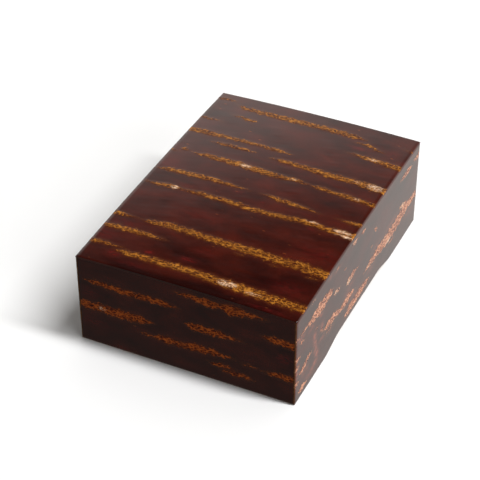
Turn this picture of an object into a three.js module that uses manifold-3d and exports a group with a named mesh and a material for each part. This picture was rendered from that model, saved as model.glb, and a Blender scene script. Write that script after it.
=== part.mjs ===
// A small lidded box covered with polished cherry bark, closed.
//
// A crowned lid slides down over the full height of an inner box. Lid and box are built alike: four thin
// boards, comb-jointed at the corners, with a rebated board closing the frame, and a sheet of bark glued
// over each outer face. The lid's long sides have a low finger notch in the lower edge.
//
// Millimetres. +X is the width, +Y the length, +Z up. The front is the short side that faces -Y.
// The origin is the middle of the underside.

import * as THREE from "three";
import { mergeVertices } from "three/addons/utils/BufferGeometryUtils.js";
import Module from "manifold-3d";

const wasm = await Module();
wasm.setup();

// The closed box from outside
const WIDTH = 85;
const LENGTH = 120;
const CORNER_HEIGHT = 38;
const CROWN_ACROSS = 0.65; // how much a short edge of the top rises in its middle
const CROWN_ALONG = 0.95; // how much a long edge of the top rises in its middle
const CROWN_STEPS = { x: 10, y: 12 };

// Sheets and boards
const BARK = 0.55;
const GLUE = 0.05; // the film in every glued joint
const LID_WALL = 3;
const LID_BOARD = 3.4;
const BOX_WALL = 2.8;
const BASE_BOARD = 2.4;
const REBATE = 0.8; // how far the lid board and the base board step into their frames

// The fit of the lid over the box
const LID_CLEARANCE = 0.35; // on each side
const LID_LIFT_OFF_FLOOR = 0.2; // the lid hangs on the box's rim and stays off the table

// The finger notch: a flat stretch between two S-shaped shoulders
const NOTCH_HEIGHT = 2.6; // above the table
const NOTCH_FLAT = 19; // half the length of the flat stretch
const NOTCH_FOOT = 33.5; // half the length at the lid's lower edge
const CURVE_STEPS = 12;

// Bamboo pegs through the base board into the box's walls
const PEG_RADIUS = 0.7;
const PEG_LENGTH = 8;
const PEG_SPREAD = 35; // the two pegs of a long wall, each side of its middle
const PEG_SIDES = 12;

// Half the width and half the length, from the outside in
const inset = (half, by) => ({ x: half.x - by, y: half.y - by });
const SHEET = BARK + GLUE; // what one sheet of bark adds to a face
const outside = { x: WIDTH / 2, y: LENGTH / 2 };
const lidCore = inset(outside, SHEET);
const lidHollow = inset(lidCore, LID_WALL);
const boxOutside = inset(lidHollow, LID_CLEARANCE);
const boxCore = inset(boxOutside, SHEET);
const boxHollow = inset(boxCore, BOX_WALL);

// Heights
const LID_FRAME_TOP = CORNER_HEIGHT - SHEET - LID_BOARD;
const BOX_RIM = LID_FRAME_TOP - REBATE - GLUE;
const BASE_TOP = SHEET + BASE_BOARD;
const FLOOR = BASE_TOP + REBATE;

// Anticlockwise from above, a quarter turn apart. The long sides are the right and the left.
const SIDES = [
  { name: "front", turn: 0, long: false },
  { name: "right", turn: 1, long: true },
  { name: "back", turn: 2, long: false },
  { name: "left", turn: 3, long: true },
];

const finish = (color, roughness) => new THREE.MeshStandardMaterial({ color, roughness, metalness: 0 });
const streakedBark = finish(0x3d1512, 0.2);
const plainBark = finish(0x4a1d14, 0.3);
const coreWood = finish(0xb08a5a, 0.65);
const bamboo = finish(0xc9a765, 0.6);

const group = new THREE.Group();

function add(name, geometry, material, turn = 0) {
  const mesh = new THREE.Mesh(geometry, material);
  mesh.name = name;
  mesh.rotation.z = (turn * Math.PI) / 2;
  group.add(mesh);
  return mesh;
}

// ---- Joining and cutting ----

function solid(geometry) {
  const bare = geometry.clone();
  bare.deleteAttribute("normal");
  bare.deleteAttribute("uv");
  const merged = mergeVertices(bare);
  const vertProperties = Float32Array.from(merged.attributes.position.array);
  const triVerts = Uint32Array.from(merged.index.array);
  return new wasm.Manifold(new wasm.Mesh({ numProp: 3, vertProperties, triVerts }));
}

function geometryOf(manifold) {
  const mesh = manifold.getMesh();
  const geometry = new THREE.BufferGeometry();
  geometry.setAttribute("position", new THREE.BufferAttribute(mesh.vertProperties, 3));
  geometry.setIndex(new THREE.BufferAttribute(mesh.triVerts, 1));
  geometry.computeVertexNormals();
  return geometry;
}

const join = (one, other) => geometryOf(solid(one).add(solid(other)));
const cut = (whole, tools) =>
  geometryOf(tools.reduce((rest, tool) => rest.subtract(solid(tool)), solid(whole)));

// ---- Shapes ----

function block(half, bottom, top) {
  const geometry = new THREE.BoxGeometry(2 * half.x, 2 * half.y, top - bottom);
  return geometry.translate(0, 0, (top + bottom) / 2);
}

// The height of the closed box's top surface
function crown(x, y) {
  const across = 1 - (x / outside.x) ** 2;
  const along = 1 - (y / outside.y) ** 2;
  return CORNER_HEIGHT + CROWN_ACROSS * across + CROWN_ALONG * along;
}

// A block whose lower and upper faces follow the two height functions
function crownedBlock(half, lower, upper) {
  const geometry = new THREE.BoxGeometry(2 * half.x, 2 * half.y, 1, CROWN_STEPS.x, CROWN_STEPS.y, 1);
  const place = geometry.attributes.position;
  for (let i = 0; i < place.count; i++) {
    const height = place.getZ(i) > 0 ? upper : lower;
    place.setZ(i, height(place.getX(i), place.getY(i)));
  }
  geometry.computeVertexNormals();
  return geometry;
}

// Begins a side's outline with its lower edge. In an outline, x runs along the side and y up it.
function lowerEdge(reach, bottom, notched) {
  const outline = new THREE.Shape();
  outline.moveTo(-reach, bottom);
  if (notched) {
    const middle = (NOTCH_FLAT + NOTCH_FOOT) / 2;
    outline.lineTo(-NOTCH_FOOT, bottom);
    outline.bezierCurveTo(-middle, bottom, -middle, NOTCH_HEIGHT, -NOTCH_FLAT, NOTCH_HEIGHT);
    outline.lineTo(NOTCH_FLAT, NOTCH_HEIGHT);
    outline.bezierCurveTo(middle, NOTCH_HEIGHT, middle, bottom, NOTCH_FOOT, bottom);
  }
  outline.lineTo(reach, bottom);
  return outline;
}

// A board's outline with its comb joint. Each end has three steps of equal height: a long side keeps the
// lower and the upper one, and a short side's middle one fits between them.
function wallOutline(side, core, wall, bottom, top, notched) {
  const full = side.long ? core.y : core.x;
  const short = full - wall - GLUE;
  const outer = side.long ? full : short;
  const middle = side.long ? short : full;
  const third = (top - bottom) / 3;
  const slack = side.long ? 0 : GLUE;
  const low = bottom + third + slack;
  const high = top - third - slack;
  const outline = lowerEdge(outer, bottom, notched);
  outline.lineTo(outer, low);
  outline.lineTo(middle, low);
  outline.lineTo(middle, high);
  outline.lineTo(outer, high);
  outline.lineTo(outer, top);
  outline.lineTo(-outer, top);
  outline.lineTo(-outer, high);
  outline.lineTo(-middle, high);
  outline.lineTo(-middle, low);
  outline.lineTo(-outer, low);
  return outline;
}

// A bark sheet's outline. Its upper edge is a parabola that rises by rise in the middle.
function barkOutline(reach, bottom, top, rise, notched) {
  const outline = lowerEdge(reach, bottom, notched);
  outline.lineTo(reach, top);
  if (rise > 0) {
    outline.quadraticCurveTo(0, top + 2 * rise, -reach, top);
  } else {
    outline.lineTo(-reach, top);
  }
  return outline;
}

// Stands an outline up as a front side whose outer face is at y = -outer. The other sides turn it.
function stand(outline, outer, thickness) {
  const geometry = new THREE.ExtrudeGeometry(outline, {
    depth: thickness,
    bevelEnabled: false,
    curveSegments: CURVE_STEPS,
  });
  return geometry.rotateX(Math.PI / 2).translate(0, thickness - outer, 0);
}

function peg(radius, bottom, top, x, y) {
  const geometry = new THREE.CylinderGeometry(radius, radius, top - bottom, PEG_SIDES);
  return geometry.rotateX(Math.PI / 2).translate(x, y, (top + bottom) / 2);
}

// How far a side stands from the middle of the box
const distance = (side, half) => (side.long ? half.x : half.y);

// ---- The lid ----

function addLidFrame() {
  const slab = crownedBlock(
    lidCore,
    () => LID_FRAME_TOP,
    (x, y) => crown(x, y) - SHEET,
  );
  const step = block(inset(lidHollow, GLUE), LID_FRAME_TOP - REBATE, LID_FRAME_TOP + REBATE);
  add("lid_top_board", join(slab, step), coreWood);
  for (const side of SIDES) {
    const top = LID_FRAME_TOP - GLUE;
    const outline = wallOutline(side, lidCore, LID_WALL, LID_LIFT_OFF_FLOOR, top, side.long);
    const board = stand(outline, distance(side, lidCore), LID_WALL);
    add(`lid_${side.name}_wall`, board, coreWood, side.turn);
  }
}

// The top sheet covers the ends of the side sheets, and the long side sheets cover the short ones.
function addLidBark() {
  const sheet = crownedBlock(outside, (x, y) => crown(x, y) - BARK, crown);
  add("lid_top_bark", sheet, streakedBark);
  for (const side of SIDES) {
    const reach = side.long ? outside.y : outside.x - SHEET;
    const [endX, endY] = side.long ? [outside.x, reach] : [reach, outside.y];
    const [middleX, middleY] = side.long ? [outside.x, 0] : [0, outside.y];
    const rise = crown(middleX, middleY) - crown(endX, endY);
    const top = crown(endX, endY) - SHEET;
    const outline = barkOutline(reach, LID_LIFT_OFF_FLOOR, top, rise, side.long);
    const panel = stand(outline, distance(side, outside), BARK);
    add(`lid_${side.name}_bark`, panel, streakedBark, side.turn);
  }
}

// ---- The inner box ----

// The pegs of one side, as distances along it from its middle
const pegPlaces = (side) => (side.long ? [-PEG_SPREAD, PEG_SPREAD] : [0]);

// Where a side's pegs stand before it is turned into place: in the middle of the board's thickness
const pegLine = (side) => BOX_WALL / 2 - distance(side, boxCore);

function addBoxFrame() {
  const holeTop = SHEET + PEG_LENGTH + GLUE;
  const holes = [];
  for (const side of SIDES) {
    const bores = pegPlaces(side).map((along) =>
      peg(PEG_RADIUS + GLUE, -holeTop, holeTop, along, pegLine(side)),
    );
    const outline = wallOutline(side, boxCore, BOX_WALL, BASE_TOP + GLUE, BOX_RIM, false);
    const board = stand(outline, distance(side, boxCore), BOX_WALL);
    add(`box_${side.name}_wall`, cut(board, bores), coreWood, side.turn);
    holes.push(...bores.map((bore) => bore.clone().rotateZ((side.turn * Math.PI) / 2)));
  }
  const plate = block(boxCore, SHEET, BASE_TOP);
  const step = block(inset(boxHollow, GLUE), BASE_TOP - REBATE, FLOOR);
  add("box_base_board", cut(join(plate, step), holes), coreWood);
}

function addPegs() {
  for (const side of SIDES) {
    pegPlaces(side).forEach((along, i) => {
      const pin = peg(PEG_RADIUS, SHEET, SHEET + PEG_LENGTH, along, pegLine(side));
      add(`base_peg_${side.name}_${i + 1}`, pin, bamboo, side.turn);
    });
  }
}

function addBoxBark() {
  add("box_base_bark", block(boxOutside, 0, BARK), plainBark);
  add("box_floor_bark", block(inset(boxHollow, 2 * GLUE), FLOOR + GLUE, FLOOR + SHEET), plainBark);
  for (const side of SIDES) {
    const reach = side.long ? boxOutside.y : boxOutside.x - SHEET;
    const outline = barkOutline(reach, SHEET, BOX_RIM, 0, false);
    const panel = stand(outline, distance(side, boxOutside), BARK);
    add(`box_${side.name}_bark`, panel, plainBark, side.turn);
  }
}

addLidFrame();
addLidBark();
addBoxFrame();
addPegs();
addBoxBark();

export default group;
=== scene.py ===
import math
import random

import bpy
import numpy as np
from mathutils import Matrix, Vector


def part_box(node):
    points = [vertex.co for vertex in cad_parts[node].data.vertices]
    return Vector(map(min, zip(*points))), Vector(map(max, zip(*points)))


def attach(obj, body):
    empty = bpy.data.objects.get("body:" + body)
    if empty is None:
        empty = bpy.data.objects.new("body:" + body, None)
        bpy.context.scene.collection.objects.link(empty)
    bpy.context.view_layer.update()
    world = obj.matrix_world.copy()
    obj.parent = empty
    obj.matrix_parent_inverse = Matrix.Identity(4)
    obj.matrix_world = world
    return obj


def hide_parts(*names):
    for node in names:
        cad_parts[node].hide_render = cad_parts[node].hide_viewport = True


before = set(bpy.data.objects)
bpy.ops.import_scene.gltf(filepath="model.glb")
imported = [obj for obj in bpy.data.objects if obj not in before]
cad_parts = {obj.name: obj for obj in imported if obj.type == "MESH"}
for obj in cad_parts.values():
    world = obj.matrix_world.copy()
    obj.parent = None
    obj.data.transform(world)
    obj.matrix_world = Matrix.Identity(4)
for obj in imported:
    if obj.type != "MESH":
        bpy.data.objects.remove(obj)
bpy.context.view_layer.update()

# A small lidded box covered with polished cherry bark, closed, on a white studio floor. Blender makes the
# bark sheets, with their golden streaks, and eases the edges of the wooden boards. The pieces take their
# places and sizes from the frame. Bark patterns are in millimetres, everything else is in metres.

MM = 0.001
SIDES = ("front", "right", "back", "left")  # anticlockwise from above, a quarter turn apart
LONG_SIDES = ("right", "left")

# ---- Places and sizes from the frame ----

_, top_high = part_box("lid_top_bark")
_, front_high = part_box("lid_front_bark")
right_low, right_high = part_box("lid_right_bark")
_, wall_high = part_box("lid_right_wall")

HALF_X = top_high.x
HALF_Y = top_high.y
BARK = right_high.x - right_low.x  # the thickness of a sheet
SHEET = right_high.x - wall_high.x  # a sheet and its glue
RISE_ACROSS = top_high.z - right_high.z - SHEET  # the crown of the top, along its short edges
RISE_ALONG = top_high.z - front_high.z - SHEET  # and along its long edges
CORNER = top_high.z - RISE_ACROSS - RISE_ALONG
LID_FOOT = right_low.z

# The finger notch in the lower edge of the lid's long sides, with the measures that the CAD gives it
NOTCH_TOP = 2.6 * MM
NOTCH_FLAT = 19 * MM
NOTCH_FOOT = 33.5 * MM

# The surface of a sheet
EASE = 0.42 * MM  # the radius of its worn outer edges
STEP_ALONG = 1.2 * MM  # mesh spacing along the grain
STEP_ACROSS = 0.5 * MM
RELIEF = 0.02 * MM  # how far a streak stands above the polished bark
RIPPLE = 0.012 * MM  # the slow waviness of the polished surface


def eased(t):
    """A soft step: 0 below 0, 1 above 1, and a smooth curve between."""
    t = np.clip(t, 0, 1)
    return t * t * (3 - 2 * t)


def crown(x, y):
    """The height of the closed box's top surface."""
    across = 1 - (x / HALF_X) ** 2
    along = 1 - (y / HALF_Y) ** 2
    return CORNER + RISE_ACROSS * across + RISE_ALONG * along


def notch(along):
    """The height of the lid's lower edge on a long side."""
    share = (NOTCH_FOOT - np.abs(along)) / (NOTCH_FOOT - NOTCH_FLAT)
    return LID_FOOT + (NOTCH_TOP - LID_FOOT) * eased(share)


def below_top_at_long_side(along):
    """The height of a long side's upper edge, under the sheet on the top."""
    return crown(HALF_X, along) - SHEET


def below_top_at_short_side(along):
    """The height of a short side's upper edge, under the sheet on the top."""
    return crown(along, HALF_Y) - SHEET


def level(height):
    """Makes an edge function with the same height all along."""

    def edge(along):
        return np.full_like(along, height)

    return edge


# ---- Streaks and spots in the bark ----
# A streak is a list of points (along, up, thickness) in mm on its face, from one end to the other, with
# the face seen from outside and its middle at 0 along. On the top, up is the distance from the middle
# towards the back. A spot is (along, up, half length, half height, strength).

FRONT_THICKER = 1.2  # what the thicknesses first listed for these faces were multiplied by, because the streaks covered too little of them
RIGHT_THICKER = 1.35  # streaks covered too little of them


def thicker(factor, streaks):
    """The streaks with every thickness multiplied by factor, to a tenth of a millimetre."""
    return [[(along, up, round(thick * factor, 1)) for along, up, thick in points] for points in streaks]


TOP_STREAKS = [
    [(-46, 55.5, 2.0), (-38, 55.5, 1.6), (-33, 55.5, 0)],
    [(-33, 53.5, 0), (-29, 51.8, 2.6), (-10, 51.4, 3.4), (6, 51.6, 3.0), (18, 51.2, 3.2), (24, 50.6, 0)],
    [(-31.5, 45.5, 0), (-27, 45, 1.6), (-22, 44.2, 2.2), (-20, 44.3, 0)],
    [(20.5, 47.4, 0), (25, 48, 1.8), (29, 46.4, 1.6), (33, 45.4, 0)],
    [(39.5, 51.3, 0), (46, 51, 1.6)],
    [(20, 39.5, 0), (25, 39.4, 1.6), (31, 39, 2.8), (38, 38.4, 3.2), (46, 37.6, 3.2)],
    [(-46, 39.6, 1.4), (-39, 39.3, 1.4), (-33, 39, 0)],
    [(-46, 29.5, 2.4), (-34, 29.3, 3.4), (-26, 29.4, 2.4), (-12, 29.2, 1.8), (-4, 28.9, 2.4),
     (2, 28.6, 0)],
    [(-30.5, 24, 0), (-25, 24.3, 2.0), (-16, 24.2, 1.8), (-11, 24, 0)],
    [(-5, 22.8, 0), (0, 23, 2.4), (12, 22.6, 3.0), (18, 22, 3.4), (30, 22.3, 3.0), (38, 21.8, 4.2),
     (46, 21, 4.0)],
    [(-39, 15, 0), (-37, 15.6, 3.0), (-35.5, 15, 0)],
    [(-46, 13, 1.4), (-41, 13, 1.0), (-39, 13, 0)],
    [(-34, 14.2, 0), (-27, 14.4, 2.6), (-13, 14, 3.6), (-6, 13.4, 3.4), (4, 13, 2.8), (12, 13.4, 1.6),
     (16, 13, 0)],
    [(16, 12.8, 0), (20, 12.8, 2.4), (26, 12.2, 1.8), (30, 12.2, 2.8), (38, 11.6, 2.2), (46, 11.4, 2.2)],
    [(-41.5, 0, 0), (-36, 0.4, 2.4), (-20, 0.8, 2.8), (-12, 0.4, 2.0), (-3, 0, 0)],
    [(2, 0.2, 0), (8, -0.6, 2.2), (18, -1.2, 2.2), (26, -2, 0)],
    [(33.5, -2.2, 0), (39, -2.2, 2.0), (46, -2.4, 2.0)],
    [(-42, -9.8, 0), (-36, -9.8, 1.8), (-30, -9.3, 2.6), (-25.5, -9.4, 0.6), (-20, -9.3, 2.4),
     (-6, -9.6, 2.8),
     (2, -10.3, 2.6), (13, -10, 2.4), (20, -9.1, 2.8), (28, -8.7, 2.8), (30, -9.6, 2.2), (36, -9.3, 3.6),
     (46, -9.8, 4.0)],
    [(-46, -31.8, 2.6), (-40, -31.9, 2.4), (-33, -31.8, 0)],
    [(-30.5, -32.2, 0), (-26, -32, 2.4), (-20, -31.3, 3.4), (-10, -32, 3.2), (2, -32.6, 3.4),
     (16, -32.7, 4.0),
     (24, -33.2, 3.6), (33, -32.9, 4.6), (46, -34.2, 4.0)],
    [(8.6, -36, 0), (10.2, -36, 0.9), (11.6, -36.2, 0)],
    [(21.8, -36.6, 0), (23.2, -36.4, 0.9), (24.8, -36.6, 0)],
    [(36, -37.2, 0), (38, -37, 1.0), (40, -37.2, 0)],
    [(-46, -39.8, 1.8), (-38, -39.4, 2.4), (-24, -39.4, 2.4), (-17, -39.6, 0)],
    [(-46, -49.4, 1.6), (-38, -49.2, 2.2), (-29, -49.4, 0)],
    [(-31.5, -51.4, 0), (-27, -51.4, 2.6), (-14, -51.5, 3.2), (-4, -51.4, 3.0), (8, -52.2, 3.8),
     (18, -52.6, 4.4),
     (28, -53, 4.2), (46, -53.2, 3.4)],
]
# Pale spots: paler cork, with painted glints in its near white threads
TOP_PALE_AND_GLINT = [
    (-29, -9.4, 1.4, 1.6, 1.0), (38, -8.6, 3.5, 0.9, 0.9), (39.5, -11, 3.5, 0.7, 1.0),
    (26, -7.8, 3, 0.7, 0.6),
    (13, -52.3, 3.2, 1.4, 0.9), (38.5, 22, 3.5, 1.9, 0.7), (-11, 14.2, 3, 1.6, 0.45),
    (31, 22.5, 3, 1.5, 0.3),
    (9, 13.5, 1.2, 1.2, 0.5), (35, 12, 1.5, 1.2, 0.5), (31, 39, 3, 1.2, 0.4), (23, -53.5, 4, 1, 0.4),
]
TOP_FLUSH = [
    (-19.5, -48.2, 1.3, 1.0, 1.0), (-5, -46.2, 3, 1.1, 0.7), (23, 44, 4, 1.2, 0.7),
    (5, -5, 0.8, 0.7, 0.6),
    (-6, -2.6, 2.5, 0.8, 0.4), (-2, -40, 5, 2, 0.25),
    (36, 46, 3, 2.5, 0.35), (-31, -53.5, 2.5, 1.6, 0.6), (27, -12, 1.2, 0.9, 0.5), (36, -24, 9, 4, 0.35),
    (-38, 4, 5, 3, 0.4), (-36, -36, 6, 2, 0.4), (-39, -45, 5, 3, 0.4), (33, -46, 7, 4, 0.3),
    (-12, -22, 8, 3, 0.2),
    (31, -58.6, 7, 0.8, 0.45), (-22, -56.5, 6, 1.2, 0.3),
]
# Painted shade: dark patches that darken the top towards its front edge, and a dark strip along that edge
TOP_PAINTED_SHADE = [
    (0, -45, 24, 6, 0.9), (26, -44, 20, 7, 1.0), (4, -58.5, 70, 3, 1.5), (14, -25, 14, 5, 0.5),
    (34, -16, 12, 3, 0.45), (24, -24, 8, 3, 0.4),
]
FRONT_STREAKS = thicker(FRONT_THICKER, [
    [(-40, 28.2, 0), (-35, 28.6, 1.8), (-24, 28, 2.2), (-16, 28.2, 2.0), (-8, 28.4, 2.2), (-2, 28.2, 0)],
    [(-46, 17, 3.0), (-34, 17.4, 3.2), (-26, 17.2, 3.4), (-18, 17.6, 3.4), (-12, 17.8, 0)],
    [(-4.5, 35, 0), (3, 35, 1.8), (10, 34.4, 3.0), (14, 34.8, 1.6), (18, 34.4, 4.2), (24, 34.8, 2.0),
     (32, 34.9, 0)],
    [(0, 22.2, 0), (3, 22, 2.8), (14, 22.1, 2.6), (23, 21.9, 0)],
    [(-17.5, 11.6, 0), (-15.5, 11.6, 1.2), (-13, 11.6, 0.4), (-8, 12, 2.8), (-2, 11.8, 2.2),
     (4, 12.6, 3.2),
     (12, 13, 2.2), (20, 12.6, 0)],
    [(22, 11.9, 0), (25, 11.8, 0.8), (28, 11.8, 0)],
    [(29.5, 27.2, 0), (33, 27, 2.4), (46, 26.8, 2.6)],
    [(30, 11.4, 0), (36, 11.6, 2.2), (46, 11.6, 2.8)],
    [(9, 8, 0), (12, 7.8, 1.6), (16.5, 8.2, 1.6), (20, 7.8, 0)],
    [(14, 5.9, 0), (18, 6, 1.6), (24, 6.2, 1.6), (27, 5.8, 0)],
])
# Pale spots: paler cork, with a painted glint
FRONT_PALE_AND_GLINT = [(-33, 17.2, 2.0, 0.9, 0.6)]
FRONT_FLUSH = [(38, 20, 2.6, 2, 0.9), (-36, 10, 6, 2, 0.45), (-38, 23, 4, 2.5, 0.4),
(-8, 11, 9, 2.4, 0.2)]
RIGHT_UPPER_STREAK = [
    [(-64, 29.4, 1.0), (-50, 29, 1.4), (-46, 28.6, 3.4), (-40, 28.4, 5.4), (-34, 28.6, 5.0),
     (-29, 28.4, 3.0),
     (-26.5, 27.6, 0)],
]
RIGHT_READ = thicker(RIGHT_THICKER, [
    [(-28, 25.4, 0), (-24, 24.8, 2.0), (-20, 24.2, 0)],
    [(-15.5, 20.8, 0), (-12, 21.2, 2.6), (-7, 21.6, 2.0), (-3, 21, 0)],
    [(-58, 25.4, 0), (-55, 25.2, 1.4), (-52, 25, 0)],
    [(-11.5, 35.8, 0), (-8, 35.6, 1.8), (-4.5, 35.6, 0)],
    [(-26, 35.4, 0), (-23, 35, 1.2), (-21, 34.8, 0)],
    [(-2, 35, 0), (0.5, 34.8, 1.8), (3, 34.4, 0)],
    [(11.5, 27.4, 0), (14, 26.8, 1.8), (16.5, 26, 0)],
    [(9, 21.4, 0), (10.5, 21, 1.2), (12, 20.6, 0)],
    [(38, 32.2, 0), (43, 32.2, 1.8), (48, 32, 2.2), (53, 31.6, 0)],
    [(53, 33, 0), (57, 32.6, 2.2), (64, 32.4, 2.0)],
    [(2.5, 13.2, 0), (8, 13.6, 2.2), (18, 14, 3.2), (26, 13, 4.2), (34, 13, 4.4), (41, 13.8, 4.4),
     (50, 14.4, 2.8),
     (64, 14, 2.6)],
    [(39.5, 18.8, 0), (43, 18.4, 2.0), (47, 16.8, 1.8), (50, 15.6, 0)],
    [(-58, 11.4, 0), (-54, 12, 2.0), (-50, 13.6, 2.2), (-45, 14.2, 0)],
    [(-36, 15.2, 0), (-31, 15, 2.8), (-25, 14.6, 2.6), (-19, 12.6, 1.8), (-14, 13, 3.4),
     (-8, 12.8, 2.0), (-5, 12.6, 0)],
    [(-16, 6, 0), (-11, 6.4, 3.0), (-2, 7, 3.2), (6, 7, 2.6), (11, 6.6, 0)],
    [(-58, 3.6, 0), (-54, 3.6, 2.6), (-49, 3.4, 0)],
    [(-43, 21.6, 0), (-41, 21, 1.0), (-39.5, 20.4, 0)],
    [(-38.5, 17.2, 0), (-37, 17.2, 2.4), (-35.5, 17, 0)],
])
RIGHT_SMALL = [
    [(-48.5, 36.2, 0), (-46, 36, 0.9), (-43, 35.8, 0)],
    [(-17.5, 29.6, 0), (-16, 29.4, 1.6), (-14.5, 29, 0)],
    [(-34.5, 12.2, 0), (-30, 11.8, 1.0), (-26, 11.6, 0)],
    [(28, 8.8, 0), (33, 8.6, 1.4), (38, 8.8, 0)],
]
RIGHT_FRONT_END = thicker(RIGHT_THICKER, [
    [(-64, 20.5, 1.6), (-58, 20, 1.4), (-55, 19.6, 0)],
    [(-64, 15.8, 3.0), (-59, 16, 2.0), (-56.5, 16.4, 0)],
    [(-64, 9.5, 2.4), (-58.5, 9, 1.6), (-56.5, 8.8, 0)],
])
RIGHT_STREAKS = RIGHT_UPPER_STREAK + RIGHT_READ + RIGHT_SMALL + RIGHT_FRONT_END
# Pale spots: paler cork, with painted glints in its near white threads
RIGHT_PALE_AND_GLINT = [
    (43, 18.4, 3, 1, 0.8), (-12.5, 21, 3, 1.2, 0.7), (-24, 24.9, 3, 0.9, 0.6), (29, 10.8, 5, 0.8, 0.5),
    (24, 15, 3, 1.2, 0.4), (-8, 35.6, 3, 0.8, 0.5), (8, 13.4, 3, 1, 0.5),
]
RIGHT_FLUSH = [
    (-43.4, 19, 1.3, 1.8, 0.9), (-43, 16, 1.4, 2, 1.0), (-42.2, 12.5, 1.5, 2.4, 1.0),
    (-41.2, 9.4, 1.4, 1.8, 1.0),
    (-42.4, 6.2, 2, 1.2, 1.0), (-45.6, 4.8, 2.6, 1.2, 0.9), (-49, 4.6, 2, 1, 0.7),
    (-37, 18.6, 1.4, 1.8, 0.9),
    (-36, 13, 2.8, 1, 0.7), (-46, 25.4, 2.8, 1, 0.7), (-38, 24.8, 2, 1, 0.8), (-24, 34.6, 3, 1, 0.6),
    (-30, 36, 2, 0.9, 0.6), (-13, 15.6, 2.6, 1.2, 0.6), (-52, 10, 3.4, 1.6, 0.6),
    (-56, 27.6, 4, 1.6, 0.7),
    (-29, 11, 3.4, 1.2, 0.5), (-6, 10, 6, 1.2, 0.4), (10, 10.4, 6, 1.2, 0.4), (33, 17.6, 7, 1.4, 0.5),
    (52, 9.6, 6, 1.6, 0.4), (14, 17.6, 5, 1.2, 0.4), (-59, 16, 1.6, 6, 0.8), (-10, 17.6, 4, 1, 0.4),
]


# Rules for the faces that the rest view doesn't show
STREAK_LENGTHS = (7, 12, 18, 30, 46)
SHORT_STREAK = 14  # streaks shorter than this are thinner as well
STREAK_SHAPE = ((0, 0, 0), (0.15, 0.3, 0.8), (0.5, 0.5, 1), (0.8, 0.8, 0.8), (1, 1, 0))

# The outlines of all streaks
FAR_OUTSIDE = -4.0  # the depth given to points that are far from any streak
BEND = 0.22  # how far a streak's middle line wanders, in mm, and its thickness, as a share
BEND_LENGTH = 7
SWELL_LENGTH = 4
END_SLOPE = 0.5  # how fast the depth falls beyond the ends of a streak
EDGE_START = -0.3  # the depths between which the mesh rises from the ground to the streak
EDGE_WIDTH = 0.8


def chance_streaks(seed, half_length, low, high, spacing, thickness):
    """Rows of streaks between the heights low and high, with long and short ones mixed."""
    chance = random.Random(seed)
    streaks = []
    up = low + spacing * chance.uniform(0.3, 0.8)
    while up < high - thickness / 2:
        start = -half_length - chance.uniform(0, 20)
        while start < half_length:
            length = chance.choice(STREAK_LENGTHS) * chance.uniform(0.8, 1.2)
            thick = thickness * chance.uniform(0.45, 1.1) * (0.7 if length < SHORT_STREAK else 1)
            drift = chance.uniform(-0.7, 0.7)
            streaks.append([
                (start + place * length, up + climb * drift, swell * thick)
                for place, climb, swell in STREAK_SHAPE
            ])
            start += length + chance.uniform(3, 26)
        up += spacing * chance.uniform(0.55, 1.3)
    return streaks


def chance_spots(seed, half_length, low, high, count, strength):
    """Spots anywhere between the heights low and high."""
    chance = random.Random(seed)
    spots = []
    for _ in range(count):
        along = chance.uniform(-half_length, half_length)
        up = chance.uniform(low, high)
        half_width = chance.uniform(1, 7)
        half_height = chance.uniform(0.8, 3)
        spots.append((along, up, half_width, half_height, strength * chance.random()))
    return spots


def wander(along, seed, wavelength):
    """A smooth line that wanders between about -1 and 1."""
    chance = random.Random(seed)
    total = np.zeros_like(along)
    for octave in range(4):
        turns = 2 ** octave * chance.uniform(0.8, 1.25) / wavelength
        total += np.sin(2 * math.pi * (turns * along + chance.random())) / (octave + 1)
    return total / 1.6


def streak_depth(along, up, streaks):
    """How far each point lies inside the nearest streak, in mm, and below 0 outside."""
    deepest = np.full(along.shape, FAR_OUTSIDE)
    for number, points in enumerate(streaks):
        places, ups, thick = (np.array(column, dtype=float) for column in zip(*points))
        middle = np.interp(along, places, ups) + BEND * wander(along, 3 * number, BEND_LENGTH)
        swell = 1 + BEND * wander(along, 3 * number + 1, SWELL_LENGTH)
        half = np.interp(along, places, thick) / 2 * swell
        beyond = np.maximum(places[0] - along, along - places[-1])
        half = np.where(beyond > 0, -END_SLOPE * beyond, half)
        deepest = np.maximum(deepest, half - np.abs(up - middle))
    return deepest


def spot_strength(along, up, spots):
    """How strongly the spots cover each point, from 0 to 1 or a little more."""
    total = np.zeros(along.shape)
    for place, height, half_length, half_height, strength in spots:
        reach = ((along - place) / half_length) ** 2 + ((up - height) / half_height) ** 2
        total = np.maximum(total, strength * np.exp(-reach))
    return total


# ---- Bark sheets ----

EDGE_TURNS = (0, 30, 60, 90)  # degrees: where grid lines run round a worn edge
RIPPLE_LENGTHS = (34, 23)  # mm
SHEET_APART = 17.0  # keeps the patterns of the sheets apart in the third direction of the grain
SHARP_ANGLE = math.radians(50)


def spread(low, high, step):
    """Grid lines from low to high, close together where the edges are rounded."""
    rounding = [EASE * (1 - math.cos(math.radians(turn))) for turn in EDGE_TURNS]
    inner = np.linspace(low + EASE, high - EASE, max(2, round((high - low) / step)))
    first = [low + r for r in rounding[:-1]]
    last = [high - r for r in rounding[-2::-1]]
    return np.concatenate([first, inner, last])


def edge_drop(near_u, near_v):
    """How far the surface falls away near the worn edges, from the distances to them."""
    a = np.clip(EASE - near_u, 0, EASE)
    b = np.clip(EASE - near_v, 0, EASE)
    return EASE - np.sqrt(np.clip(EASE ** 2 - a ** 2 - b ** 2, 0, None))


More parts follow.
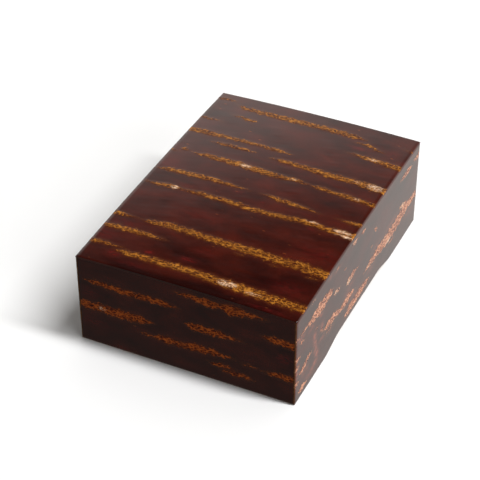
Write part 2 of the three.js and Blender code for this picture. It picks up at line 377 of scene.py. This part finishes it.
def sheet_faces(shape):
    """The faces of a closed sheet. The points of its back follow those of its front."""
    count = shape[0] * shape[1]
    index = np.arange(count).reshape(shape)
    corners = [index[:-1, :-1], index[1:, :-1], index[1:, 1:], index[:-1, 1:]]
    front = np.stack([corner.ravel() for corner in corners], axis=1)
    back = front[:, ::-1] + count
    rim = np.concatenate([index[:, 0], index[-1, 1:], index[-2::-1, -1], index[0, -2:0:-1]])
    following = np.roll(rim, -1)
    edges = np.stack([following, rim, rim + count, following + count], axis=1)
    return np.concatenate([front, back, edges]).tolist()


def give_values(mesh, values):
    """Writes one number for each point of the front, and repeats it on the back."""
    for key, value in values.items():
        front = value.ravel()
        back = np.ones_like(front) if key == "cut" else front  # the back is all cut
        layer = mesh.attributes.new(key, "FLOAT", "POINT")
        layer.data.foreach_set("value", np.concatenate([front, back]).astype(np.float32))


def give_grain(mesh, along, up, seed):
    """Writes where each point lies on its sheet, in mm, for the patterns of the material."""
    grain = np.stack([along, up, np.full_like(along, SHEET_APART * seed)], axis=-1).reshape(-1, 3)
    layer = mesh.attributes.new("grain", "FLOAT_VECTOR", "POINT")
    layer.data.foreach_set("vector", np.concatenate([grain, grain]).astype(np.float32).ravel())


def bark_sheet(name, half_length, lower, upper, place, bark, seed, cut_ends=True):
    """One sheet of bark.

    lower and upper give the heights of its edges, and place turns (u, v, out) into x, y and z. bark holds its
    streaks, its pale spots, which carry painted glints too, its red spots, and its dark spots, of which
    those on the top are painted shade. cut_ends shows the bare cut along its two upright edges.
    """
    us = spread(-half_length, half_length, STEP_ALONG)
    height = float(np.max(upper(us)) - np.min(lower(us)))
    vs = spread(0, height, STEP_ACROSS)
    u, share = np.meshgrid(us, vs / height, indexing="ij")
    low, high = lower(u), upper(u)
    v = low + share * (high - low)
    along, up = u / MM, v / MM

    streaks, pale_and_glint, flush, dark_tone_and_shade = bark
    depth = streak_depth(along, up, streaks)
    rise = eased((depth - EDGE_START) / EDGE_WIDTH)
    wave = wander(along + 0.6 * up, seed, RIPPLE_LENGTHS[0])
    wave = wave * wander(up - 0.3 * along, seed + 1, RIPPLE_LENGTHS[1])
    out = RELIEF * (rise - 1) + RIPPLE * (wave - 1)
    near_end = half_length - np.abs(u)
    drop = edge_drop(near_end, np.minimum(v - low, high - v))
    end_drop = edge_drop(near_end, np.full_like(u, EASE)) * cut_ends

    front = place(u, v, out - drop)
    back = place(u, v, np.full_like(u, -BARK))
    points = np.concatenate([front.reshape(-1, 3), back.reshape(-1, 3)])
    mesh = bpy.data.meshes.new(name)
    mesh.from_pydata(points.tolist(), [], sheet_faces(u.shape))
    give_values(mesh, {
        "streak": depth,
        "pale_and_glint": spot_strength(along, up, pale_and_glint),
        "flush": spot_strength(along, up, flush),
        "dark_tone_and_shade": spot_strength(along, up, dark_tone_and_shade),
        "cut": np.clip(end_drop / (0.5 * EASE), 0, 1),
    })
    give_grain(mesh, along, up, seed)
    mesh.polygons.foreach_set("use_smooth", [True] * len(mesh.polygons))
    mesh.set_sharp_from_angle(angle=SHARP_ANGLE)
    piece = bpy.data.objects.new(name, mesh)
    bpy.context.scene.collection.objects.link(piece)
    return piece


def upright(side, distance):
    """Places a sheet on one side of a box, with its outer face at distance from the middle."""
    turn = SIDES.index(side) * math.pi / 2
    cos, sin = math.cos(turn), math.sin(turn)

    def place(u, v, out):
        y = -(distance + out)
        return np.stack([u * cos - y * sin, u * sin + y * cos, v], axis=-1)

    return place


def on_top(u, v, out):
    """Places the crowned sheet on the top."""
    return np.stack([u, v, crown(u, v) + out], axis=-1)


def flat(height, facing):
    """Places a sheet flat at height, facing up (1) or down (-1)."""

    def place(u, v, out):
        return np.stack([u * facing, v, height + facing * out], axis=-1)

    return place


# ---- Node helpers ----

MIX_FACTOR, MIX_A, MIX_B = 0, 6, 7  # the inputs of a Mix node that mixes colours
MIX_RESULT = 2


def put(tree, kind, inputs=None, **settings):
    """Adds a node, sets its properties and fills its inputs with values or with other nodes' outputs."""
    node = tree.nodes.new(kind)
    for key, value in settings.items():
        setattr(node, key, value)
    for key, value in (inputs or {}).items():
        if isinstance(value, bpy.types.NodeSocket):
            tree.links.new(value, node.inputs[key])
        else:
            node.inputs[key].default_value = value
    return node


def calc(tree, operation, *values):
    """The output of a Math node."""
    return put(tree, "ShaderNodeMath", dict(enumerate(values)), operation=operation).outputs[0]


def add(tree, one, other):
    return calc(tree, "ADD", one, other)


def times(tree, one, other):
    return calc(tree, "MULTIPLY", one, other)


def minus(tree, one, other):
    return calc(tree, "SUBTRACT", one, other)


def fade(tree, value, low, high, start=0.0, end=1.0):
    """A smooth step from start to end as value goes from low to high."""
    inputs = {"Value": value, "From Min": low, "From Max": high, "To Min": start, "To Max": end}
    return put(tree, "ShaderNodeMapRange", inputs, interpolation_type="SMOOTHSTEP").outputs["Result"]


def between(tree, factor, one, other):
    """The number one where factor is 0, other where it is 1, and in between."""
    return add(tree, one, times(tree, factor, minus(tree, other, one)))


def blend(tree, factor, one, other):
    """The colour one where factor is 0, other where it is 1, and a mix in between."""
    inputs = {MIX_FACTOR: factor}
    for socket, colour in ((MIX_A, one), (MIX_B, other)):
        inputs[socket] = (*colour, 1) if isinstance(colour, tuple) else colour
    return put(tree, "ShaderNodeMix", inputs, data_type="RGBA").outputs[MIX_RESULT]


def stretched(tree, vector, scale):
    """A vector multiplied by a scale for each axis."""
    return put(tree, "ShaderNodeMapping", {"Vector": vector, "Scale": scale}).outputs["Vector"]


def noise(tree, vector, scale, detail=3.0, roughness=0.55, distortion=0.0):
    """A cloudy pattern, with scale giving its features per unit along each axis."""
    inputs = {
        "Vector": stretched(tree, vector, scale),
        "Scale": 1.0,
        "Detail": detail,
        "Roughness": roughness,
        "Distortion": distortion,
    }
    return put(tree, "ShaderNodeTexNoise", inputs).outputs[0]


def swing(tree, value, strength):
    """A noise, which lies around 0.5, moved to lie around 0 and made as strong as wanted."""
    return times(tree, minus(tree, value, 0.5), strength)


def attribute(tree, name, output="Fac"):
    """What the mesh stores under a name."""
    return put(tree, "ShaderNodeAttribute", attribute_name=name).outputs[output]


def ramp(tree, value, stops):
    """The colour that the stops (position, colour) give for value."""
    node = put(tree, "ShaderNodeValToRGB", {"Fac": value})
    band = node.color_ramp
    while len(band.elements) < len(stops):
        band.elements.new(0.5)
    for element, (position, colour) in zip(band.elements, stops):
        element.position = position
        element.color = (*colour, 1)
    return node.outputs["Color"]


def bump(tree, shader, height, strength):
    """Shades the surface as if height, times 0.05 mm, stood above it."""
    inputs = {"Strength": strength, "Distance": 0.05 * MM, "Height": height}
    tree.links.new(put(tree, "ShaderNodeBump", inputs).outputs["Normal"], shader.inputs["Normal"])


def surface(name, gloss):
    """A new material, its node tree and its shader, with the shader's uniform values."""
    material = bpy.data.materials.new(name)
    material.use_nodes = True
    shader = next(n for n in material.node_tree.nodes if n.type == "BSDF_PRINCIPLED")
    for key, value in gloss.items():
        shader.inputs[key].default_value = value
    return material, material.node_tree, shader


# ---- Bark ----

# Patterns, as features per mm along the grain, across it, and in the direction that sets the sheets apart
CLOUDS = (0.06, 0.11, 1)
FIBRES = (0.35, 6.0, 1)
HAIRS = (3.6, 0.22, 1)
BLOTCHES = (0.4, 0.8, 1)
FLECKS = (0.16, 0.42, 1)
RAGS = (0.55, 1.2, 1)
CRUMBS = (2.2, 3.4, 1)
CELLS = (0.5, 1.1, 1)
MOTTLE = (0.75, 1.25, 1)
DRIFTS = (0.13, 0.4, 1)
THREADS = (0.42, 1.2, 1)
LAYERS = (0.5, 0.5, 9)
SMEARS = (0.08, 0.3, 1)

AMBER = (0.2, 0.05, 0.01)
# The near black of the dark patches: darker tone at random on the back and the left, painted shade on the top
DARK_TONE_AND_SHADE = (0.015, 0.0018, 0.0012)
RUST = (0.08, 0.018, 0.004)  # stains the ground around a streak
# The near white of the threads in the pale spots: painted glints
PALE_THREAD_AND_GLINT = (0.88, 0.64, 0.45)
PALE_CORK = (0.6, 0.32, 0.15)
CUT_DARK = (0.05, 0.017, 0.008)  # the layers that show where a sheet is cut
CUT_LIGHT = (0.24, 0.11, 0.04)

# The colours of the cork, from its darkest gaps to its brightest threads
GOLD = [
    (0.1, (0.045, 0.006, 0.002)),
    (0.3, (0.1, 0.018, 0.002)),
    (0.5, (0.175, 0.037, 0.002)),
    (0.7, (0.27, 0.08, 0.004)),
    (0.9, (0.42, 0.165, 0.02)),
]

# The colours of the ground: dark, middle and warm, and the red of its spots
RED_BROWN = ((0.024, 0.0045, 0.003), (0.048, 0.0065, 0.0035), (0.078, 0.009, 0.004), (0.13, 0.006, 0.005))
# The ground of the right side, paler than the top's: painted sheen
ROSE_BROWN = ((0.03, 0.006, 0.004), (0.062, 0.008, 0.005), (0.1, 0.012, 0.006), (0.4, 0.085, 0.04))
DULL_BROWN = ((0.026, 0.01, 0.007), (0.05, 0.016, 0.01), (0.085, 0.025, 0.013), (0.13, 0.02, 0.012))


def tinted(tint):
    """The colours of the cork, each multiplied by a tint."""
    return [(place, tuple(c * t for c, t in zip(colour, tint))) for place, colour in GOLD]


def bark_ground(tree, grain, colours):
    """The colour of the ground, and the height of its fibres and hairs."""
    dark, body, warm, red = colours
    cloud = noise(tree, grain, CLOUDS, 5, 0.62, 0.4)
    ground = ramp(tree, cloud, [(0.3, dark), (0.5, body), (0.7, warm)])
    fibre = noise(tree, grain, FIBRES, 4, 0.7)
    ground = blend(tree, fade(tree, fibre, 0.4, 0.75, 0, 0.3), ground, warm)
    hair = noise(tree, grain, HAIRS, 3, 0.6)
    ground = blend(tree, fade(tree, hair, 0.45, 0.75, 0, 0.3), ground, dark)
    # Dark patches: darker tone at random on the back and the left, painted shade towards the top's front edge
    dark_tone_and_shade = times(tree, attribute(tree, "dark_tone_and_shade"), fade(tree, cloud, 0.35, 0.6, 1, 0.6))
    ground = blend(tree, dark_tone_and_shade, ground, DARK_TONE_AND_SHADE)
    blotch = noise(tree, grain, BLOTCHES, 5)
    flush = times(tree, attribute(tree, "flush"), fade(tree, blotch, 0.3, 0.62))
    ground = blend(tree, flush, ground, red)

    fleck = put(tree, "ShaderNodeTexVoronoi", {"Vector": stretched(tree, grain, FLECKS), "Scale": 1.0})
    lot = put(tree, "ShaderNodeSeparateColor", {"Color": fleck.outputs["Color"]}).outputs[0]
    chosen = fade(tree, lot, 0.78, 0.8)
    near = fade(tree, fleck.outputs["Distance"], 0.05, 0.16, 1, 0)
    ground = blend(tree, times(tree, times(tree, chosen, near), 0.6), ground, AMBER)
    return ground, add(tree, fibre, hair)


def ragged_depth(tree, grain):
    """The depth inside a streak, in mm, with the streak's outline made ragged."""
    ragged = swing(tree, noise(tree, grain, RAGS, 4, 0.65), 2.8)
    crumb = swing(tree, noise(tree, grain, CRUMBS, 3), 2.2)
    return add(tree, attribute(tree, "streak"), add(tree, ragged, crumb))


def cell_walls(tree, grain):
    """1 along the walls between the cells of the cork, which are bent out of line, and 0 inside them."""
    bent = put(tree, "ShaderNodeTexNoise", {"Vector": grain, "Scale": 0.9, "Detail": 2.0}).outputs["Color"]
    shift = put(tree, "ShaderNodeVectorMath", {0: bent, 1: (1.6, 1.2, 0)}, operation="MULTIPLY").outputs[0]
    moved = put(tree, "ShaderNodeVectorMath", {0: grain, 1: shift}, operation="ADD").outputs[0]
    inputs = {"Vector": stretched(tree, moved, CELLS), "Scale": 1.0}
    cells = put(tree, "ShaderNodeTexVoronoi", inputs, feature="DISTANCE_TO_EDGE")
    return fade(tree, cells.outputs["Distance"], 0.01, 0.15, 1, 0)


def cork_colour(tree, grain, depth, walls, mottle, stops, brightness):
    """The colour inside a streak: mottled cork with bright cell walls, threads and pale spots.

    The pale spots are paler cork, and their near white threads are painted glints.
    """
    tone = swing(tree, mottle, 2.6)
    tone = add(tree, tone, swing(tree, noise(tree, grain, DRIFTS, 2), 2.0))
    tone = add(tree, tone, times(tree, walls, 1.2))
    tone = add(tree, tone, fade(tree, depth, 0.2, 0.9, -0.3, 0.0))  # darker near the outline
    cork = ramp(tree, add(tree, tone, brightness), stops)

    # Pale spots: paler cork, and near white threads that paint glints
    pale_and_glint = attribute(tree, "pale_and_glint")
    wave = calc(tree, "ABSOLUTE", minus(tree, noise(tree, grain, THREADS, 2), 0.5))
    thread = times(tree, fade(tree, wave, 0.008, 0.05, 1, 0), fade(tree, pale_and_glint, 0.0, 0.4, 0.4, 1.0))
    brightest = stops[-1][1]
    thread_colour = blend(tree, fade(tree, pale_and_glint, 0.1, 0.5), brightest, PALE_THREAD_AND_GLINT)
    cork = blend(tree, fade(tree, pale_and_glint, 0.1, 0.9, 0, 0.25), cork, PALE_CORK)
    return blend(tree, thread, cork, thread_colour)


def bark_material(name, ground_colours, cork_stops, brightness, gloss, film):
    """Polished cherry bark: a dark cloudy ground with fine fibres, and streaks of golden cork.

    A higher brightness moves the cork towards its bright colours, gloss is the roughness of the polish, and
    film is the weight of the clear film on the ground, which hardly covers the cork.
    """
    uniform = {"IOR": 1.5, "Specular IOR Level": 0.25, "Coat Roughness": 0.09}
    material, tree, shader = surface(name, uniform)
    grain = attribute(tree, "grain", "Vector")
    ground, fibres = bark_ground(tree, grain, ground_colours)
    depth = ragged_depth(tree, grain)
    inside = fade(tree, depth, -0.1, 0.4)
    ground = blend(tree, fade(tree, depth, -1.3, 0.2, 0, 0.7), ground, RUST)
    walls = cell_walls(tree, grain)
    mottle = noise(tree, grain, MOTTLE, 3, 0.65)
    cork = cork_colour(tree, grain, depth, walls, mottle, cork_stops, brightness)
    colour = blend(tree, inside, ground, cork)
    cut = blend(tree, noise(tree, grain, LAYERS, 2), CUT_DARK, CUT_LIGHT)
    colour = blend(tree, times(tree, attribute(tree, "cut"), 0.75), colour, cut)
    tree.links.new(colour, shader.inputs["Base Color"])
    tree.links.new(fade(tree, inside, 0.0, 1.0, film, 0.1 * film), shader.inputs["Coat Weight"])

    polish = fade(tree, noise(tree, grain, SMEARS, 3), 0.3, 0.7, gloss, gloss + 0.07)
    duller = times(tree, inside, fade(tree, mottle, 0.3, 0.7, 0.06, 0.02))
    tree.links.new(add(tree, polish, duller), shader.inputs["Roughness"])
    height = times(tree, inside, add(tree, times(tree, walls, 0.5), mottle))
    bump(tree, shader, add(tree, height, times(tree, fibres, 0.1)), 0.16)
    return material


golden_bark = bark_material("golden_bark", RED_BROWN, GOLD, -0.2, 0.11, 0.75)
# Painted light: the front's own copy of the bark, its cork brighter and redder than the top's
front_bark_painted_light = bark_material("front_bark_painted_light", RED_BROWN, tinted((1.05, 0.56, 0.4)), 0.12, 0.11, 0.75)
# Painted sheen: the right side's own copy of the bark, its ground and cork paler and pinker than the top's
right_bark_painted_sheen = bark_material("right_bark_painted_sheen", ROSE_BROWN, tinted((1.7, 2.0, 10.0)), 0.2, 0.11, 0.7)
plain_bark = bark_material("plain_bark", DULL_BROWN, tinted((0.55, 0.55, 0.55)), 0.1, 0.25, 0.2)

# ---- Wood ----

LINES_ACROSS = 260.0  # features per metre
LINES_ALONG = 9.0
PORES_ACROSS = 2600.0
PORES_ALONG = 130.0
ALONG_X, ALONG_Y, ALONG_Z = 0, 1, 2


def scaled(colour, factor):
    return tuple(factor * part for part in colour)


def along_grain(across, along, axis):
    """The scale of a pattern that is stretched along one axis."""
    scale = [across, across, across]
    scale[axis] = along
    return scale


def wood_material(name, light, dark, axis, gloss):
    """Planed wood with growth lines and pores along an axis."""
    uniform = {"IOR": 1.45, "Coat Weight": 0.15, "Coat Roughness": 0.3}
    material, tree, shader = surface(name, uniform)
    where = put(tree, "ShaderNodeTexCoord").outputs["Object"]
    band = noise(tree, where, along_grain(LINES_ACROSS, LINES_ALONG, axis), 4, 0.6, 0.6)
    fine = noise(tree, where, along_grain(4 * LINES_ACROSS, 4 * LINES_ALONG, axis), 3, 0.6)
    pore = noise(tree, where, along_grain(PORES_ACROSS, PORES_ALONG, axis), 2)
    colour = ramp(tree, band, [(0.32, dark), (0.5, light), (0.7, scaled(light, 0.86))])
    colour = blend(tree, fade(tree, fine, 0.4, 0.75, 0, 0.35), colour, dark)
    colour = blend(tree, fade(tree, pore, 0.62, 0.78, 0, 0.55), colour, scaled(dark, 0.45))
    tree.links.new(colour, shader.inputs["Base Color"])
    tree.links.new(fade(tree, fine, 0.3, 0.7, gloss, gloss + 0.12), shader.inputs["Roughness"])
    height = minus(tree, times(tree, band, 0.3), fade(tree, pore, 0.6, 0.78))
    bump(tree, shader, height, 0.35)
    return material


MAGNOLIA = ((0.6, 0.42, 0.24), (0.4, 0.25, 0.12))
BAMBOO = ((0.62, 0.45, 0.2), (0.42, 0.27, 0.1))
wood_along_x = wood_material("magnolia_along_x", *MAGNOLIA, ALONG_X, 0.42)
wood_along_y = wood_material("magnolia_along_y", *MAGNOLIA, ALONG_Y, 0.42)
bamboo = wood_material("bamboo", *BAMBOO, ALONG_Z, 0.35)

# ---- The pieces ----

LID_SPACING = 7.5  # mm between rows of streaks on the back and the left
# Plain bark: mm between rows of streaks, their thickness in mm, and the number of red spots
SIDE_KIND = (13, 1.6, 6)
FLAT_KIND = (15, 1.8, 12)
PLAIN_STRENGTH = 0.4
SIDE_SPOTS_HIGH = 33  # mm
FLAT_REACH = 56  # mm from the middle of the base and the floor

BOARD_EDGE = 0.15 * MM  # how far the edges are planed off
WALL_EDGE = 0.2 * MM
FLAT_ANGLE = math.radians(0.2)  # faces that meet at less than this are one face
CORNER_ANGLE = math.radians(40)
SMOOTH_ANGLE = math.radians(35)


def dress(piece, material, body, node):
    """Gives a piece its one material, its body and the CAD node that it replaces."""
    piece.data.materials.clear()
    piece.data.materials.append(material)
    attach(piece, body)
    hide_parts(node)


def add_lid_bark():
    """The five sheets of the lid. Those of the top, the front and the right side follow the photo."""
    bark = (TOP_STREAKS, TOP_PALE_AND_GLINT, TOP_FLUSH, TOP_PAINTED_SHADE)
    front_edge, back_edge = level(-HALF_Y), level(HALF_Y)
    sheet = bark_sheet("lid_top_sheet", HALF_X, front_edge, back_edge, on_top, bark, 1, cut_ends=False)
    dress(sheet, golden_bark, "lid", "lid_top_bark")
    height = (CORNER - SHEET) / MM
    half_x, half_y = HALF_X / MM, HALF_Y / MM
    patterns = {
        "front": (FRONT_STREAKS, FRONT_PALE_AND_GLINT, FRONT_FLUSH, []),
        "right": (RIGHT_STREAKS, RIGHT_PALE_AND_GLINT, RIGHT_FLUSH, []),
        "back": (
            chance_streaks(5, half_x, 0, height, spacing=LID_SPACING, thickness=3.0),
            chance_spots(6, half_x, 0, height, count=8, strength=0.8),
            chance_spots(7, half_x, 0, height, count=9, strength=0.6),
            chance_spots(8, half_x, 0, height, count=4, strength=0.6),
        ),
        "left": (
            chance_streaks(15, half_y, 0, height, spacing=LID_SPACING, thickness=3.4),
            chance_spots(16, half_y, 0, height, count=10, strength=0.8),
            chance_spots(17, half_y, 0, height, count=12, strength=0.6),
            chance_spots(18, half_y, 0, height, count=6, strength=0.6),
        ),
    }
    materials = {"front": front_bark_painted_light, "right": right_bark_painted_sheen, "back": golden_bark, "left": golden_bark}
    for seed, side in enumerate(SIDES, 2):
        low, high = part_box(f"lid_{side}_bark")
        if side in LONG_SIDES:
            half_length, distance, lower, upper = high.y, HALF_X, notch, below_top_at_long_side
        else:
            half_length, distance, lower, upper = high.x, HALF_Y, level(low.z), below_top_at_short_side
        place = upright(side, distance)
        sheet = bark_sheet(f"lid_{side}_sheet", half_length, lower, upper, place, patterns[side], seed)
        dress(sheet, materials[side], "lid", f"lid_{side}_bark")


def plain_pattern(seed, half_length, low, high, spots_high, kind):
    """The few thin streaks and the red spots of plain bark, which has neither pale nor dark spots."""
    spacing, thickness, spots = kind
    return (
        chance_streaks(seed, half_length, low, high, spacing, thickness),
        [],
        chance_spots(seed, half_length, low, spots_high, spots, PLAIN_STRENGTH),
        [],
    )


def add_box_bark():
    """The sheets round the inner box, under its base and on its floor."""
    for seed, side in enumerate(SIDES, 7):
        low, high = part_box(f"box_{side}_bark")
        if side in LONG_SIDES:
            half_length, distance = high.y, max(abs(low.x), abs(high.x))
        else:
            half_length, distance = high.x, max(abs(low.y), abs(high.y))
        bark = plain_pattern(seed, half_length / MM, 0, high.z / MM, SIDE_SPOTS_HIGH, SIDE_KIND)
        place = upright(side, distance)
        sheet = bark_sheet(
            f"box_{side}_sheet", half_length, level(low.z), level(high.z), place, bark, seed,
        )
        dress(sheet, plain_bark, "box", f"box_{side}_bark")
    for seed, (name, facing) in enumerate((("box_base", -1), ("box_floor", 1)), 12):
        low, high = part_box(f"{name}_bark")
        place = flat(high.z if facing > 0 else low.z, facing)
        bark = plain_pattern(seed, high.x / MM, -FLAT_REACH, FLAT_REACH, FLAT_REACH, FLAT_KIND)
        sheet = bark_sheet(f"{name}_sheet", high.x, level(low.y), level(high.y), place, bark, seed)
        dress(sheet, plain_bark, "box", f"{name}_bark")


def ease_board(node, body, material, width):
    """A board from the frame with its hard edges planed off."""
    mesh = bpy.data.objects[node].data.copy()
    board = bpy.data.objects.new(node + "_wood", mesh)
    bpy.context.scene.collection.objects.link(board)
    dress(board, material, body, node)
    flatten = board.modifiers.new("flatten", "DECIMATE")
    flatten.decimate_type = "DISSOLVE"
    flatten.angle_limit = FLAT_ANGLE
    bevel = board.modifiers.new("planed edges", "BEVEL")
    bevel.width = width
    bevel.segments = 2
    bevel.limit_method = "ANGLE"
    bevel.angle_limit = CORNER_ANGLE
    bevel.harden_normals = False
    mesh.polygons.foreach_set("use_smooth", [True] * len(mesh.polygons))
    mesh.set_sharp_from_angle(angle=SMOOTH_ANGLE)


def add_boards():
    ease_board("lid_top_board", "lid", wood_along_x, BOARD_EDGE)
    ease_board("box_base_board", "box", wood_along_y, BOARD_EDGE)
    for side in SIDES:
        material = wood_along_y if side in LONG_SIDES else wood_along_x
        ease_board(f"lid_{side}_wall", "lid", material, WALL_EDGE)
        ease_board(f"box_{side}_wall", "box", material, WALL_EDGE)
    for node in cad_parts:
        if node.startswith("base_peg"):
            peg = bpy.data.objects[node]
            peg.data.materials.clear()
            peg.data.materials.append(bamboo)


# ---- Studio ----

CAMERA_AZIMUTH = 25.2  # degrees, from the front towards the right
CAMERA_ELEVATION = 37.2
CAMERA_DISTANCE = 0.584
CAMERA_LENS = 116.5  # mm
SENSOR_WIDTH = 36  # mm
LOOK_AT = Vector((-0.00464, -0.00443, 0.019))
LIGHT_DISTANCE = 4.0
FLOOR_HALF = 3.0


def direction(azimuth, elevation):
    """The way from the box to a camera or lamp, with azimuth as for the camera."""
    a, e = math.radians(azimuth), math.radians(elevation)
    return Vector((math.sin(a) * math.cos(e), -math.cos(a) * math.cos(e), math.sin(e)))


def add_camera():
    data = bpy.data.cameras.new("camera")
    camera = bpy.data.objects.new("camera", data)
    bpy.context.scene.collection.objects.link(camera)
    back = direction(CAMERA_AZIMUTH, CAMERA_ELEVATION)
    camera.location = LOOK_AT + CAMERA_DISTANCE * back
    camera.rotation_euler = (-back).to_track_quat("-Z", "Y").to_euler()
    data.lens = CAMERA_LENS
    data.sensor_width = SENSOR_WIDTH
    data.clip_start = 0.01
    data.clip_end = 20
    bpy.context.scene.camera = camera


def add_floor():
    mesh = bpy.data.meshes.new("floor")
    corners = [(FLOOR_HALF * x, FLOOR_HALF * y, 0) for x, y in ((-1, -1), (1, -1), (1, 1), (-1, 1))]
    mesh.from_pydata(corners, [], [(0, 1, 2, 3)])
    floor = bpy.data.objects.new("floor", mesh)
    bpy.context.scene.collection.objects.link(floor)
    material, _, shader = surface("floor_white", {"Roughness": 0.9, "Specular IOR Level": 0.0})
    shader.inputs["Base Color"].default_value = (0.9, 0.9, 0.9, 1)
    mesh.materials.append(material)
    floor.visible_glossy = False
    floor.visible_diffuse = False


def add_light(name, azimuth, elevation, width, height, power, mirrored=True):
    """A lamp that faces the box. The polish shows its reflection only if it is mirrored."""
    data = bpy.data.lights.new(name, "AREA")
    data.shape = "RECTANGLE"
    data.size = width
    data.size_y = height
    data.energy = power
    light = bpy.data.objects.new(name, data)
    bpy.context.scene.collection.objects.link(light)
    back = direction(azimuth, elevation)
    light.location = LIGHT_DISTANCE * back
    light.rotation_euler = (-back).to_track_quat("-Z", "Y").to_euler()
    light.visible_glossy = mirrored


def add_world():
    """A studio whose wall is brightest behind the box and on its left. The camera sees it plain white.

    The floor is left out of reflected and scattered light, and the lower half of this world stands in for it.
    """
    world = bpy.data.worlds.new("studio")
    world.use_nodes = True
    bpy.context.scene.world = world
    tree = world.node_tree
    background = next(n for n in tree.nodes if n.type == "BACKGROUND")
    ray = put(tree, "ShaderNodeLightPath").outputs
    way = put(tree, "ShaderNodeTexCoord").outputs["Generated"]
    axes = put(tree, "ShaderNodeSeparateXYZ", {"Vector": way}).outputs
    below = fade(tree, axes["Z"], -0.1, 0.05, 1.0, 0.0)

    behind = fade(tree, axes["Y"], -0.3, 0.45)
    to_left = fade(tree, axes["X"], -0.15, -0.45, 0.6, 1.0)
    wall = times(tree, fade(tree, behind, 0.0, 1.0, 0.3, 0.9), to_left)
    wall = times(tree, wall, fade(tree, axes["Z"], 0.46, 0.64, 1.0, 0.02))
    far_floor = fade(tree, axes["Y"], 0.66, 0.82, 0.0, 0.12)
    ground = add(tree, fade(tree, behind, 0.0, 1.0, 0.11, 0.5), far_floor)
    mirrored = between(tree, below, wall, ground)

    sky = fade(tree, axes["Y"], -0.2, 0.8, 0.0, 0.85)
    bounce = fade(tree, axes["Y"], -0.8, 0.2, 0.38, 1.0)
    scattered = between(tree, below, sky, bounce)

    lit = between(tree, ray["Is Glossy Ray"], scattered, mirrored)
    seen = calc(tree, "MAXIMUM", lit, ray["Is Camera Ray"])
    tree.links.new(seen, background.inputs["Strength"])
    background.inputs["Color"].default_value = (1, 0.975, 0.93, 1)


add_lid_bark()
add_box_bark()
add_boards()
add_camera()
add_floor()
add_light("key", 96, 60, 0.5, 2.4, 160)
add_light("fill", 66, 24, 2.3, 2.3, 64, mirrored=False)
add_world()
bpy.context.scene.view_settings.view_transform = "Standard"
